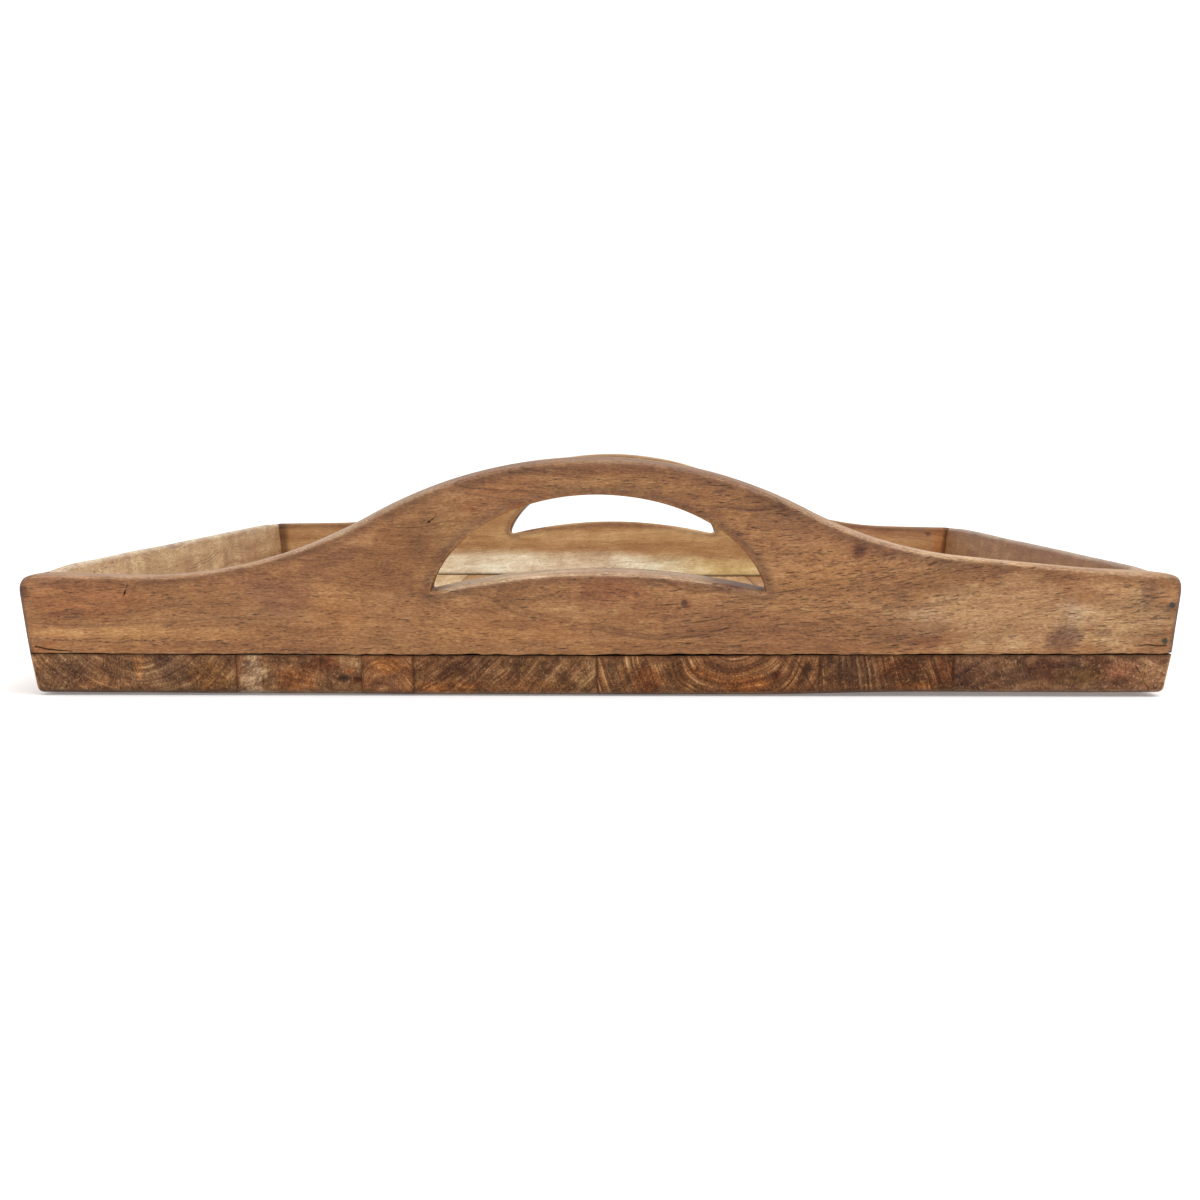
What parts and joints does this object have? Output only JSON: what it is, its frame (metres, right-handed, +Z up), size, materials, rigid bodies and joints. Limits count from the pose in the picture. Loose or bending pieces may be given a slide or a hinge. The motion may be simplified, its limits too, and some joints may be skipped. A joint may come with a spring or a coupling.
{
  "type": "serving tray",
  "caption": "Rectangular wooden serving tray with splayed walls, an edge-glued stave base and arched end boards with crescent hand holes.",
  "frame": {"origin": "on the underside, at the middle of the tray's outline", "axes": "+Y along the tray's length from one handle to the other, +X across its width, +Z up out of the open side"},
  "size_m": [0.3808, 0.5074, 0.0785],
  "materials": {
    "wall_wood": "oiled, satin to matte",
    "base_wood": "oiled, satin to matte, end grain at both ends",
    "nail_steel": "bright drawn wire",
    "putty": "dry grey-green wood filler"
  },
  "bodies": {
    "root": {"base_stave_1": "base_wood", "base_stave_2": "base_wood", "base_stave_3": "base_wood", "base_stave_4": "base_wood", "base_stave_5": "base_wood", "base_stave_6": "base_wood", "base_stave_7": "base_wood", "front_end_board": "wall_wood", "rear_end_board": "wall_wood", "left_side_board": "wall_wood", "right_side_board": "wall_wood", "front_corner_nails": "nail_steel", "rear_corner_nails": "nail_steel", "base_nails": "nail_steel", "front_corner_putty": "putty", "rear_corner_putty": "putty", "base_nail_putty": "putty"}
  },
  "joints": []
}
